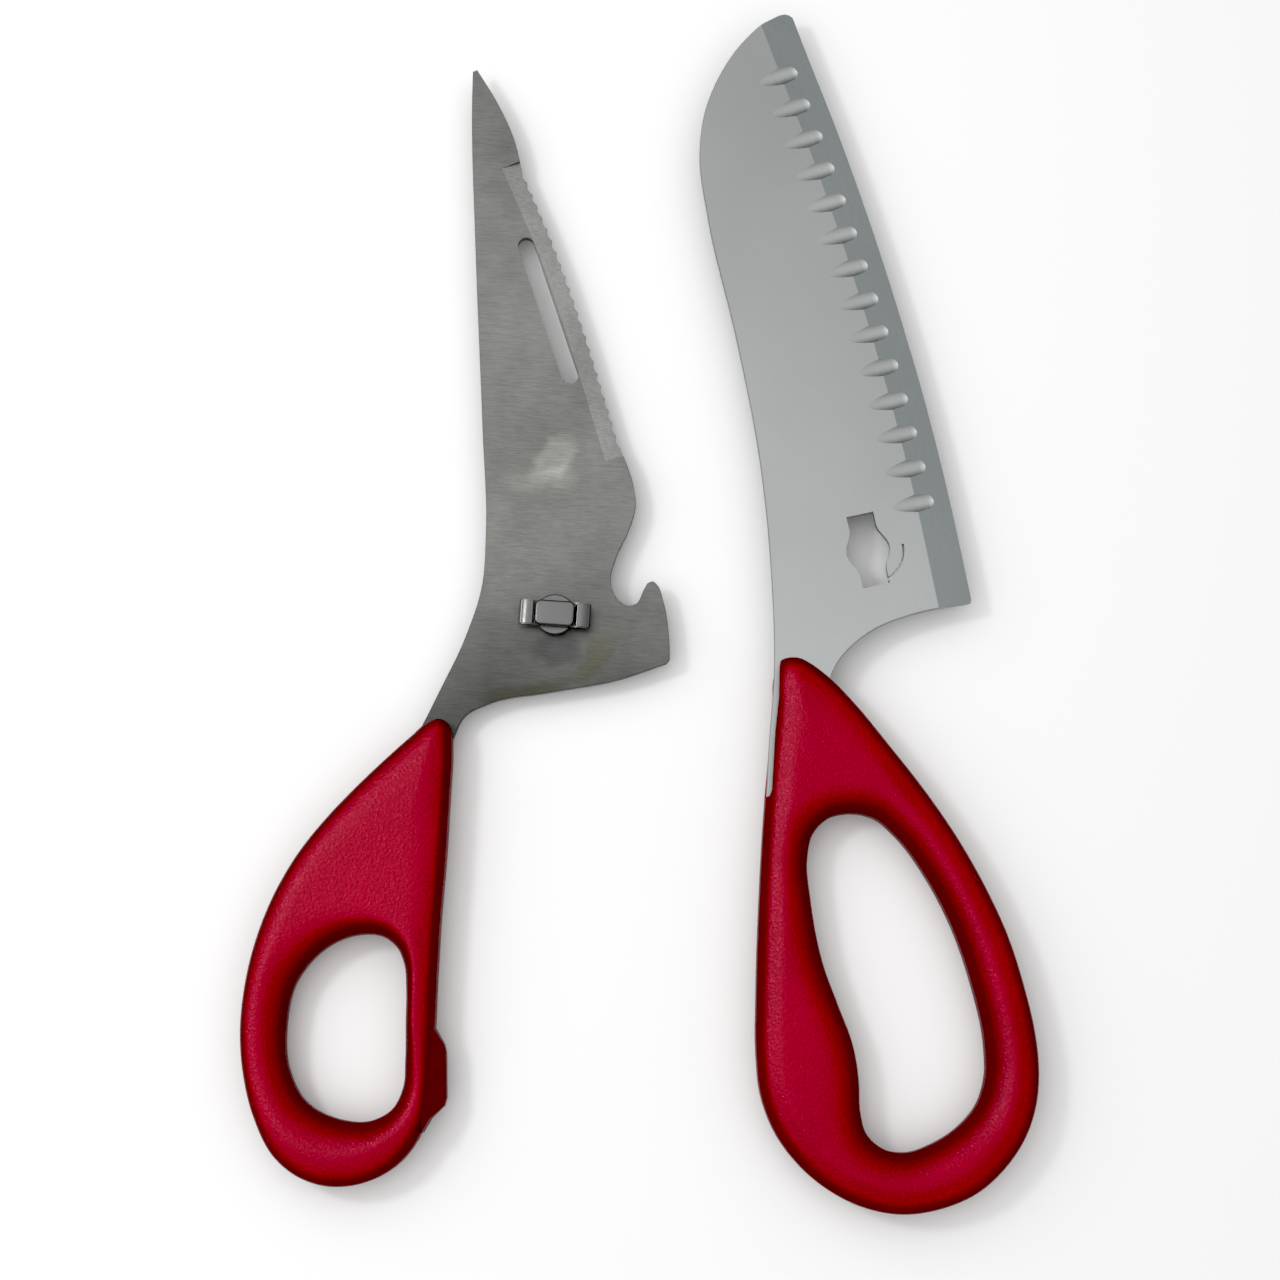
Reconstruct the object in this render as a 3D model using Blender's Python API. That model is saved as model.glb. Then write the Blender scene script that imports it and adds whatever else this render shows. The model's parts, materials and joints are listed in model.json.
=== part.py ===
"""Take-apart poultry shears, lying flat in two halves with the tips towards +Y.

All sizes are in millimetres. Each half is drawn about its own pivot axis, which is the origin of
that half, and an empty carries it to its place. The two blades lie on either side of the plane
halfway up the handles, so the halves can cross over each other.
"""

import math

import bmesh
import bpy
import numpy as np

MM = 0.001
GAP = 0.3                      # clearance between neighbouring pieces

# Driving dimensions
HANDLE_THICKNESS = 13.0
BLADE_THICKNESS = 2.0
PIVOT_SPACING = (65.0, 13.6)   # from the stud to the keyhole, with the halves laid apart

MID = HANDLE_THICKNESS / 2
LOWER_TOP = MID - GAP / 2
LOWER_BOTTOM = LOWER_TOP - BLADE_THICKNESS
UPPER_BOTTOM = MID + GAP / 2
UPPER_TOP = UPPER_BOTTOM + BLADE_THICKNESS

# Pivot
SHANK_RADIUS = 2.0
JOURNAL_RADIUS = 4.2
HEAD_LENGTH = 14.8
HEAD_WIDTH = 5.1
HEAD_TURN = math.radians(-4.0)
HEAD_BOTTOM = UPPER_TOP + GAP
WING_TOP = HEAD_BOTTOM + 1.3
PAD_TOP = HEAD_BOTTOM + 2.1
PAD_LENGTH = 8.2
WASHER_RADIUS = 4.5
WASHER_THICKNESS = 1.0
RIVET_RADIUS = 3.2
RIVET_HEIGHT = 1.0

# Keyhole in the knife blade
KEY_HALF_LENGTH = 7.7
KEY_HALF_WIDTH = 2.85
KEY_BULGE_RADIUS = 4.6
KEY_BULGE_REACH = 5.0
KEY_TURN = math.radians(102.3)
SLIT_RADIUS = 7.3
SLIT_WIDTH = 0.45
SLIT_START = math.radians(10)
SLIT_END = math.radians(-60)

# Knife's bevel, and the grooves across the line where it begins
BEVEL_WIDTH = 7.2
BEVEL_DEPTH = 1.6
SCALLOPS = 14
FIRST_SCALLOP = 11.2            # from the tip end of the edge, measured along it
SCALLOP_PITCH = 7.56
SCALLOP_RADIUS = 3.2
SCALLOP_DEPTH = 0.62           # at the line where the bevel begins
SCALLOP_SLOPE = 0.13           # of a groove's axis, which rises towards the spine
SCALLOP_END = 2.5              # from that line to the middle of the groove's round end
SCALLOP_RUN = 9.0

# Serrated blade
SLOT_ENDS = ((-6.6, 79.9), (2.8, 51.4))
SLOT_WIDTH = 3.5
TEETH = 23
TOOTH_DEPTH = 0.45
GROUND_STRIP = 3.8
GROUND_DEPTH = 0.8
SHEAR_BEVEL_WIDTH = 2.6
SHEAR_BEVEL_DEPTH = 1.5

# Handles
OUTER_FALL = 1.8               # of half the thickness, over the sloping band along the outer edge
OUTER_EDGE_FALL = 2.6          # and again over its rounded edge
HOLE_FALL = 0.8
HOLE_EDGE_FALL = 4.4
OUTER_EDGE_SHARE = 0.5         # of the band's width that the rounded edge takes
HOLE_EDGE_SHARE = 1.0
FINGER_SOFTNESS = 0.18         # of the ridge, as a share of the band's width
THUMB_SOFTNESS = 0.5
FINGER_OUTER_BAND = (5.0, 0.0, 0.0)    # the band's width, and what it gains to the right and the top
FINGER_HOLE_BAND = (6.3, -0.4, -0.4)
THUMB_OUTER_BAND = (4.1, 0.8, -0.5)
THUMB_HOLE_BAND = (5.6, -3.6, -1.2)
STATIONS = 80
BAND_STEPS = 6
BUMPER_HALF_HEIGHT = 4.4
BUMPER_DRAFT = 2.2

# Outlines, each a list of the points that a smooth stretch runs through
KNIFE_SPINE = [
    (-14.6, 116.9), (-15.4, 117.4), (-19.7, 115.8), (-24.9, 111.3), (-30.0, 104.0), (-33.6, 95.0),
    (-34.7, 86.0), (-33.0, 72.0), (-27.0, 45.0), (-22.3, 19.0), (-20.1, -5.0), (-19.7, -26.0),
    (-20.8, -40.0), (-21.5, -51.0),
]
KNIFE_TANG_END = [(-21.2, -53.0), (-17.0, -55.5), (-12.8, -52.0)]
KNIFE_NECK = [(-11.6, -42.0), (-9.6, -31.0), (-6.3, -23.1), (0.5, -17.0), (9.5, -13.4), (20.4, -11.3)]
KNIFE_HEEL = [(21.2, -11.1), (21.4, -10.4)]
KNIFE_EDGE = [
    (21.4, -10.0), (17.5, 10.0), (13.0, 30.0), (7.7, 50.0), (1.8, 70.0), (-4.8, 90.0), (-12.1, 110.0),
    (-14.3, 116.2),
]

SHEAR_EDGE = [
    (-18.3, 118.6), (-18.4, 112.0), (-17.3, 78.0), (-15.5, 40.0), (-14.6, 18.0), (-15.4, 6.0),
    (-18.7, -4.5), (-24.8, -17.6), (-30.0, -29.0), (-32.6, -40.0), (-33.4, -48.0),
]
SERRATED_TANG_END = [(-32.8, -50.6), (-29.4, -52.6), (-26.4, -50.0)]
SERRATED_NECK = [
    (-25.2, -42.0), (-22.6, -32.0), (-20.7, -25.0), (-18.6, -20.9), (-14.0, -18.4), (-1.1, -15.9),
    (13.0, -13.3), (23.1, -9.9),
]
HOOK_BACK = [(23.8, -9.0), (23.6, -4.0), (22.4, 3.4), (21.2, 6.6), (20.2, 7.4), (19.1, 6.9)]
OPENER_NOTCH = [
    (18.3, 5.4), (16.9, 2.7), (15.2, 2.2), (13.2, 3.3), (11.8, 5.6), (11.5, 8.3), (12.6, 12.4),
    (15.4, 18.7), (16.7, 23.6), (16.2, 27.8), (13.4, 36.0),
]
TOOTHED_EDGE = [(13.4, 36.0), (10.4, 46.1), (5.1, 63.5), (-1.1, 81.1), (-7.6, 96.6)]
TIP_BACK = [(-7.8, 97.4), (-9.2, 103.0), (-13.4, 112.4), (-17.4, 119.0)]

FINGER_OUTER = [
    (-15.7, -22.6), (-18.1, -23.1), (-19.4, -25.6), (-19.9, -33.0), (-20.6, -40.0), (-21.6, -50.0),
    (-22.1, -56.0), (-23.0, -70.0), (-23.9, -92.0), (-24.0, -103.0),
    (-23.0, -112.2), (-20.4, -119.0), (-16.3, -124.8), (-10.0, -130.3), (-3.0, -133.8), (5.0, -135.3),
    (12.5, -134.3), (20.2, -131.1), (26.0, -126.0), (30.3, -119.6), (32.5, -112.8), (33.0, -105.7),
    (32.4, -99.3), (30.4, -90.0), (27.4, -80.0), (23.0, -70.0), (17.5, -60.0), (10.8, -50.0),
    (3.1, -40.0), (-2.5, -33.0), (-8.2, -27.0), (-12.5, -23.7), (-14.2, -22.8),
]
FINGER_HOLE = [
    (-4.0, -54.8), (-8.8, -55.8), (-12.1, -59.2), (-13.2, -64.0), (-12.6, -72.7), (-10.0, -86.2),
    (-7.4, -93.4), (-4.3, -102.0), (-3.2, -109.5), (-3.1, -114.5), (-1.7, -119.7), (2.0, -122.6),
    (6.0, -123.1), (11.5, -121.3), (16.5, -118.1), (20.3, -113.8), (22.3, -107.6), (22.3, -102.6),
    (19.6, -88.6), (15.5, -76.7), (11.1, -68.1), (4.5, -59.1), (0.7, -55.9),
]
THUMB_OUTER = [
    (-23.5, -21.8), (-26.0, -22.5), (-29.2, -25.2), (-34.5, -30.0), (-40.7, -36.0), (-46.6, -42.3),
    (-51.4, -48.3), (-56.3, -56.5), (-60.6, -67.6), (-62.6, -77.0), (-63.2, -86.0), (-62.4, -94.0),
    (-60.3, -102.0), (-55.5, -110.8), (-51.0, -114.3), (-45.5, -116.1), (-40.0, -116.0),
    (-34.7, -114.3), (-30.3, -111.2), (-27.0, -106.8), (-25.4, -103.0), (-24.6, -97.0),
    (-24.1, -90.0), (-23.5, -74.0), (-22.9, -62.0), (-22.0, -50.0), (-21.4, -38.0), (-21.0, -28.0),
    (-21.2, -24.6), (-22.0, -22.6),
]
THUMB_HOLE = [
    (-29.8, -84.0), (-29.8, -76.5), (-30.2, -72.1), (-31.9, -68.4), (-35.1, -66.2), (-39.1, -65.9),
    (-43.8, -67.2), (-48.7, -70.7), (-52.3, -75.8), (-54.0, -84.0), (-53.3, -93.0), (-49.9, -99.3),
    (-43.0, -102.9), (-36.5, -103.2), (-32.4, -101.0), (-30.2, -96.7), (-29.8, -91.0),
]
BUMPER = [
    (-24.1, -84.6), (-22.0, -88.0), (-21.6, -89.5), (-21.4, -98.6), (-21.8, -100.2), (-24.6, -102.8),
    (-26.2, -105.6), (-26.3, -100.0), (-26.1, -87.0),
]
TANG_WINDOW = [
    (-18.0, -20.0), (-18.6, -25.0), (-18.8, -31.0), (-19.6, -38.0), (-20.4, -50.2), (-20.9, -51.5),
    (-22.6, -52.0), (-25.0, -51.0), (-25.0, -20.0),
]

BLADE_STEEL = (0.5, 0.53, 0.53)
SERRATED_STEEL = (0.28, 0.28, 0.26)
PIVOT_STEEL = (0.35, 0.36, 0.36)
RED = (0.42, 0.0, 0.02)
DARK_RED = (0.22, 0.0, 0.01)


# Outlines

def smooth(points, step, closed=False):
    """Points about a step apart along one smooth curve through the given points."""
    given = np.array(points, float)
    if closed:
        given = np.vstack([given[-1], given, given[:2]])
    else:
        given = np.vstack([2 * given[0] - given[1], given, 2 * given[-1] - given[-2]])
    curve = []
    for before, start, end, after in zip(given, given[1:], given[2:], given[3:]):
        arrive, span, leave = (np.linalg.norm(v) for v in (start - before, end - start, after - end))
        chord = (end - start) / span
        start_way = ((start - before) / arrive * span + chord * arrive) / (arrive + span) * span
        end_way = (chord * leave + (after - end) / leave * span) / (leave + span) * span
        for t in np.linspace(0, 1, max(1, round(span / step)), endpoint=False):
            curve.append(
                (2 * t**3 - 3 * t**2 + 1) * start + (t**3 - 2 * t**2 + t) * start_way
                + (3 * t**2 - 2 * t**3) * end + (t**3 - t**2) * end_way
            )
    if not closed:
        curve.append(given[-2])
    return np.array(curve)


def spread(curve, count, closed=True):
    """The same curve as a number of points that are equally far apart along it."""
    if closed:
        curve = np.vstack([curve, curve[:1]])
    along = np.concatenate([[0], np.cumsum(np.linalg.norm(np.diff(curve, axis=0), axis=1))])
    wanted = np.linspace(0, along[-1], count, endpoint=not closed)
    return np.column_stack([np.interp(wanted, along, curve[:, k]) for k in (0, 1)])


def grown(outline, by):
    """A closed outline moved out by a distance."""
    ahead = np.roll(outline, -1, axis=0) - outline
    ahead /= np.linalg.norm(ahead, axis=1)[:, None]
    way = ahead + np.roll(ahead, 1, axis=0)
    way /= np.linalg.norm(way, axis=1)[:, None]
    x, y = outline.T
    turn = 1 if np.sum(x * np.roll(y, -1) - y * np.roll(x, -1)) > 0 else -1
    return outline + by * turn * np.column_stack([way[:, 1], -way[:, 0]])


def toothed(curve):
    """The curve with shallow round bites taken out of it, one for each tooth."""
    steps = 4 * TEETH + 1
    points = spread(curve, steps, closed=False)
    ahead = np.gradient(points, axis=0)
    ahead /= np.linalg.norm(ahead, axis=1)[:, None]
    bite = TOOTH_DEPTH * np.abs(np.sin(np.arange(steps) * math.pi / 4))
    return points - bite[:, None] * np.column_stack([ahead[:, 1], -ahead[:, 0]])


def knife_outline():
    stretches = [
        smooth(KNIFE_SPINE, 3.0), smooth(KNIFE_TANG_END, 2.0), smooth(KNIFE_NECK, 3.0), KNIFE_HEEL,
        smooth(KNIFE_EDGE, 7.0),
    ]
    return np.vstack(stretches)


def serrated_outline():
    stretches = [
        smooth(SHEAR_EDGE, 4.0), smooth(SERRATED_TANG_END, 2.0), smooth(SERRATED_NECK, 3.0),
        smooth(HOOK_BACK, 1.5), smooth(OPENER_NOTCH, 1.5)[:-1], toothed(smooth(TOOTHED_EDGE, 1.0)),
        smooth(TIP_BACK, 3.0),
    ]
    return np.vstack(stretches)


def keyhole_outline():
    """A slot whose middle swells smoothly to take the round journal."""
    u = np.linspace(-KEY_BULGE_REACH, KEY_BULGE_REACH, 17)
    swell = np.cos(u * math.pi / 2 / KEY_BULGE_REACH) ** 2
    half = KEY_HALF_WIDTH + (KEY_BULGE_RADIUS - KEY_HALF_WIDTH) * swell
    u = np.concatenate([[-KEY_HALF_LENGTH], u, [KEY_HALF_LENGTH]])
    half = np.concatenate([[KEY_HALF_WIDTH], half, [KEY_HALF_WIDTH]])
    u, v = np.concatenate([u, u[::-1]]), np.concatenate([half, -half[::-1]])
    cos, sin = math.cos(KEY_TURN), math.sin(KEY_TURN)
    return np.column_stack([u * cos - v * sin, u * sin + v * cos])


def slit_outline():
    """A thin arc beside the keyhole, which leaves a springy tongue between the two."""
    angles = np.linspace(SLIT_START, SLIT_END, 13)
    ring = np.column_stack([np.cos(angles), np.sin(angles)])
    inner, outer = SLIT_RADIUS - SLIT_WIDTH / 2, SLIT_RADIUS + SLIT_WIDTH / 2
    return np.vstack([ring * inner, ring[::-1] * outer])


def slot_outline():
    """A long slot with round ends."""
    top, bottom = (np.array(end) for end in SLOT_ENDS)
    lean = math.atan2(*(top - bottom)[::-1])
    outline = []
    for centre, first in ((top, lean - math.pi / 2), (bottom, lean + math.pi / 2)):
        for angle in np.linspace(first, first + math.pi, 9):
            outline.append(centre + SLOT_WIDTH / 2 * np.array([math.cos(angle), math.sin(angle)]))
    return np.array(outline)


def distance(points, outline):
    """How far each point is from a closed outline."""
    start, end = outline, np.roll(outline, -1, axis=0)
    run = end - start
    offset = points[:, None] - start
    share = np.clip((offset * run).sum(2) / (run * run).sum(1), 0, 1)
    return np.linalg.norm(offset - share[..., None] * run, axis=2).min(1)


# Objects

def material(name, colour, roughness, metallic):
    made = bpy.data.materials.new(name)
    made.use_nodes = True
    shader = made.node_tree.nodes["Principled BSDF"]
    shader.inputs["Base Color"].default_value = (*colour, 1)
    shader.inputs["Roughness"].default_value = roughness
    shader.inputs["Metallic"].default_value = metallic
    return made


def add(name, bm, finish, parent):
    bmesh.ops.recalc_face_normals(bm, faces=bm.faces)
    mesh = bpy.data.meshes.new(name)
    bm.to_mesh(mesh)
    bm.free()
    mesh.shade_smooth()
    mesh.set_sharp_from_angle(angle=math.radians(30))
    if finish:
        mesh.materials.append(finish)
    obj = bpy.data.objects.new(name, mesh)
    bpy.context.collection.objects.link(obj)
    obj.parent = parent
    return obj


def prism(outline, bottom, top):
    bm = bmesh.new()
    face = bm.faces.new([bm.verts.new((x * MM, y * MM, bottom * MM)) for x, y in outline])
    raised = bmesh.ops.extrude_face_region(bm, geom=[face])["geom"]
    moved = [item for item in raised if isinstance(item, bmesh.types.BMVert)]
    bmesh.ops.translate(bm, verts=moved, vec=(0, 0, (top - bottom) * MM))
    return bm


def turned(profile, segments=32):
    """A profile of (radius, height) points spun about the Z axis, closed on itself or on the axis."""
    bm = bmesh.new()
    points = [bm.verts.new((r * MM, 0, z * MM)) for r, z in profile]
    edges = [bm.edges.new(pair) for pair in zip(points, points[1:])]
    if profile[0][0] > 0:
        edges.append(bm.edges.new((points[-1], points[0])))
    bmesh.ops.spin(
        bm, geom=points + edges, cent=(0, 0, 0), axis=(0, 0, 1), angle=2 * math.pi,
        steps=segments, use_merge=True,
    )
    bmesh.ops.remove_doubles(bm, verts=bm.verts, dist=1e-6)
    return bm


def wedge(path, width, depth, face, side, over=6.0):
    """A cutter for a ground bevel, which starts a width inside the path and is a depth into the
    plate's face at it. The plate is on the path's left, and side is 1 on an upper face."""
    path = np.array(path, float)
    ahead = np.gradient(path, axis=0)
    ahead /= np.linalg.norm(ahead, axis=1)[:, None]
    path[0] -= over * ahead[0]
    path[-1] += over * ahead[-1]
    slope = depth / width
    section = [
        (-width - 1, face + side * slope), (over, face - side * slope * (width + over)),
        (over, face + side * 2), (-width - 1, face + side * 2),
    ]
    bm = bmesh.new()
    rings = []
    for base, way in zip(path, ahead):
        places = [(base + np.array([way[1], -way[0]]) * s, z) for s, z in section]
        rings.append([bm.verts.new((p[0] * MM, p[1] * MM, z * MM)) for p, z in places])
    bm.faces.new(rings[0])
    bm.faces.new(rings[-1])
    for ring, following in zip(rings, rings[1:]):
        for k in range(4):
            bm.faces.new((ring[k], ring[k - 1], following[k - 1], following[k]))
    return bm


def cut(obj, name, bm, operation="DIFFERENCE"):
    """Cut a shape out of an object, or join it on, and hide the shape itself."""
    tool = add(name, bm, None, obj.parent)
    tool.hide_render = True
    tool.display_type = "WIRE"
    modifier = obj.modifiers.new(name, "BOOLEAN")
    modifier.operation = operation
    modifier.object = tool


# Pieces

def knife_blade(finish, parent):
    blade = add("knife_blade", prism(knife_outline(), UPPER_BOTTOM, UPPER_TOP), finish, parent)
    cut(blade, "knife_bevel", wedge(smooth(KNIFE_EDGE, 7.0), BEVEL_WIDTH, BEVEL_DEPTH, UPPER_TOP, 1))
    cut(blade, "keyhole", prism(keyhole_outline(), UPPER_BOTTOM - 1, UPPER_TOP + 1))
    cut(blade, "tongue_slit", prism(slit_outline(), UPPER_BOTTOM - 1, UPPER_TOP + 1))
    cut(blade, "scallops", scallops())


def scallops():
    """Round-ended grooves across the line where the knife's bevel begins, rising towards the spine."""
    edge = smooth(KNIFE_EDGE, 0.1)[::-1]
    along = np.gradient(edge, axis=0)
    along /= np.linalg.norm(along, axis=1)[:, None]
    run = np.concatenate([[0], np.cumsum(np.linalg.norm(np.diff(edge, axis=0), axis=1))])
    bm = bmesh.new()
    for k in range(SCALLOPS):
        at = np.searchsorted(run, FIRST_SCALLOP + k * SCALLOP_PITCH)
        inward = np.array([along[at][1], -along[at][0]])
        groove(bm, edge[at] + inward * BEVEL_WIDTH, inward, along[at])
    return bm


def groove(bm, centre, inward, along, segments=16, rings=3):
    """One groove's cutter: a cylinder with a round end, whose axis rises towards the spine."""
    axis_height = UPPER_TOP - SCALLOP_DEPTH + SCALLOP_RADIUS
    stations = [(-SCALLOP_END - SCALLOP_RADIUS * math.cos(a), SCALLOP_RADIUS * math.sin(a))
                for a in np.linspace(0, math.pi / 2, rings + 1)]
    stations.append((SCALLOP_RUN, SCALLOP_RADIUS))
    made = []
    for u, radius in stations:
        if radius < 1e-6:
            place = centre + inward * u
            made.append([bm.verts.new((place[0] * MM, place[1] * MM, (axis_height + SCALLOP_SLOPE * u) * MM))])
            continue
        ring = []
        for angle in np.linspace(0, 2 * math.pi, segments, endpoint=False):
            place = centre + inward * u + along * radius * math.cos(angle)
            height = axis_height + SCALLOP_SLOPE * u + radius * math.sin(angle)
            ring.append(bm.verts.new((place[0] * MM, place[1] * MM, height * MM)))
        made.append(ring)
    for k in range(segments):
        bm.faces.new((made[0][0], made[1][k - 1], made[1][k]))
    for lower, upper in zip(made[1:], made[2:]):
        for k in range(segments):
            bm.faces.new((lower[k - 1], upper[k - 1], upper[k], lower[k]))
    bm.faces.new(made[-1])


def serrated_blade(finish, parent):
    blade = add("serrated_blade", prism(serrated_outline(), LOWER_BOTTOM, LOWER_TOP), finish, parent)
    strip = wedge(smooth(TOOTHED_EDGE, 9.0), GROUND_STRIP, GROUND_DEPTH, LOWER_TOP, 1, 2.0)
    cut(blade, "ground_strip", strip)
    back = smooth(SHEAR_EDGE[:5], 9.0)
    cut(blade, "shear_bevel", wedge(back, SHEAR_BEVEL_WIDTH, SHEAR_BEVEL_DEPTH, LOWER_BOTTOM, -1))
    cut(blade, "long_slot", prism(slot_outline(), LOWER_BOTTOM - 1, LOWER_TOP + 1))
    hole = SHANK_RADIUS + GAP
    bore = turned([(0, LOWER_TOP + 1), (hole, LOWER_TOP + 1), (hole, LOWER_BOTTOM - 1), (0, LOWER_BOTTOM - 1)])
    cut(blade, "stud_hole", bore)


def handle(name, outer_points, hole_points, outer_band, hole_band, softness, finish, parent):
    """A ring of rounded section with an arm: a ridge along its top, and a sloping band to each edge."""
    outline = smooth(outer_points, 1.0, closed=True)
    hole = smooth(hole_points, 1.0, closed=True)
    outer = spread(outline, STATIONS)
    inner = facing(outer, hole)
    reach = np.linalg.norm(inner - outer, axis=1)
    way = (outer - hole.mean(axis=0)) / np.linalg.norm(outer - hole.mean(axis=0), axis=1)[:, None]
    bands = [mean + right * way[:, 0] + top * way[:, 1] for mean, right, top in (outer_band, hole_band)]
    from_outer = np.minimum((1.05 + softness) * bands[0], 0.48 * reach)
    from_hole = np.minimum((1.05 + softness) * bands[1], 0.48 * reach)
    steps = np.linspace(0, 1, BAND_STEPS) ** 1.8
    shares = [step * from_outer / reach for step in steps]
    shares += [shares[-1] * (1 - t) + (1 - from_hole / reach) * t for t in (0.5,)]
    shares += [1 - step * from_hole / reach for step in steps[::-1]]
    bm = bmesh.new()
    upper, lower = [], []
    for share in shares:
        points = outer + share[:, None] * (inner - outer)
        half = handle_half_height(points, outline, hole, bands, softness)
        upper.append([bm.verts.new((x * MM, y * MM, (MID + h) * MM)) for (x, y), h in zip(points, half)])
        lower.append([bm.verts.new((x * MM, y * MM, (MID - h) * MM)) for (x, y), h in zip(points, half)])
    rings = upper + lower[::-1]
    for ring, following in zip(rings, rings[1:] + rings[:1]):
        for k in range(STATIONS):
            bm.faces.new((ring[k - 1], ring[k], following[k], following[k - 1]))
    return add(name, bm, finish, parent)


def facing(outer, hole):
    """For each point of the outer outline, the hole's point in the same direction from its middle."""
    middle = hole.mean(axis=0)
    way, spoke = outer - middle, hole - middle
    angle = np.arctan2(spoke[:, 1], spoke[:, 0])
    radius = np.interp(
        np.arctan2(way[:, 1], way[:, 0]), angle[np.argsort(angle)],
        np.linalg.norm(spoke, axis=1)[np.argsort(angle)], period=2 * math.pi,
    )
    return middle + way / np.linalg.norm(way, axis=1)[:, None] * radius[:, None]


def eased(rise, softness):
    """A straight ramp up from nought, with its corner rounded over the softness to either side."""
    return np.where(rise > softness, rise, np.clip(rise + softness, 0, None) ** 2 / (4 * softness))


def handle_half_height(points, outline, hole, bands, softness):
    """Half the handle's thickness: full along the ridge, with a straight fall and a rounded edge."""
    half = np.full(len(points), HANDLE_THICKNESS / 2)
    for edge, band, fall, edge_fall, share in (
        (outline, bands[0], OUTER_FALL, OUTER_EDGE_FALL, OUTER_EDGE_SHARE),
        (hole, bands[1], HOLE_FALL, HOLE_EDGE_FALL, HOLE_EDGE_SHARE),
    ):
        away = distance(points, edge) / band
        half -= fall * eased(1 - away, softness)
        half -= edge_fall * (1 - np.sqrt(1 - (1 - np.clip(away / share, 0, 1)) ** 2))
    return half


def pocket(blade_outline, bottom, top):
    """The room that a blade's tang takes up in its handle."""
    return prism(grown(blade_outline, GAP), bottom - GAP, top + GAP)


def bumper_solid(extra):
    """The stop pad, narrower towards its upper and lower faces."""
    outline = grown(np.array(BUMPER), extra)
    half = BUMPER_HALF_HEIGHT + extra
    bm = prism(outline, MID - half, MID + half)
    outer_x = max(x for x, _ in outline) * MM
    for vert in bm.verts:
        if vert.co.x > outer_x - 2 * MM:
            vert.co.z -= math.copysign(BUMPER_DRAFT * MM, vert.co.z - MID * MM)
    return bm


def pivot_stud(finish, parent):
    rivet_top = LOWER_BOTTOM - GAP - WASHER_THICKNESS - GAP
    profile = [
        (0, HEAD_BOTTOM + 0.5), (SHANK_RADIUS, HEAD_BOTTOM + 0.5), (SHANK_RADIUS, rivet_top),
        (RIVET_RADIUS, rivet_top), (0.8 * RIVET_RADIUS, rivet_top - 0.6 * RIVET_HEIGHT),
        (0, rivet_top - RIVET_HEIGHT),
    ]
    stud = add("pivot_stud", turned(profile, 24), finish, parent)
    cut(stud, "stud_head", stud_head(), "UNION")


def stud_head():
    """A cross bar with a raised middle and wings that slope down to its ends."""
    end, pad = HEAD_LENGTH / 2, PAD_LENGTH / 2
    side = [
        (end, HEAD_BOTTOM), (end, WING_TOP - 0.5), (end - 0.5, WING_TOP - 0.2), (pad + 0.7, WING_TOP),
        (pad + 0.2, WING_TOP - 0.2), (pad, PAD_TOP - 0.3), (pad - 0.3, PAD_TOP),
    ]
    side += [(-u, z) for u, z in side[::-1]]
    cos, sin = math.cos(HEAD_TURN), math.sin(HEAD_TURN)
    bm = bmesh.new()
    corners = []
    for u, z in side:
        x, y = u * cos + HEAD_WIDTH / 2 * sin, u * sin - HEAD_WIDTH / 2 * cos
        corners.append(bm.verts.new((x * MM, y * MM, z * MM)))
    face = bm.faces.new(corners)
    moved = bmesh.ops.extrude_face_region(bm, geom=[face])["geom"]
    moved = [item for item in moved if isinstance(item, bmesh.types.BMVert)]
    bmesh.ops.translate(bm, verts=moved, vec=(-sin * HEAD_WIDTH * MM, cos * HEAD_WIDTH * MM, 0))
    return bm


def ring(name, inner, outer, bottom, top, finish, parent):
    chamfer = 0.25
    profile = [
        (inner, top), (outer - chamfer, top), (outer, top - chamfer), (outer, bottom + chamfer),
        (outer - chamfer, bottom), (inner, bottom),
    ]
    add(name, turned(profile), finish, parent)


def half_at(name, x, y):
    empty = bpy.data.objects.new(name, None)
    empty.location = (x * MM, y * MM, 0)
    bpy.context.collection.objects.link(empty)
    return empty


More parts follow.
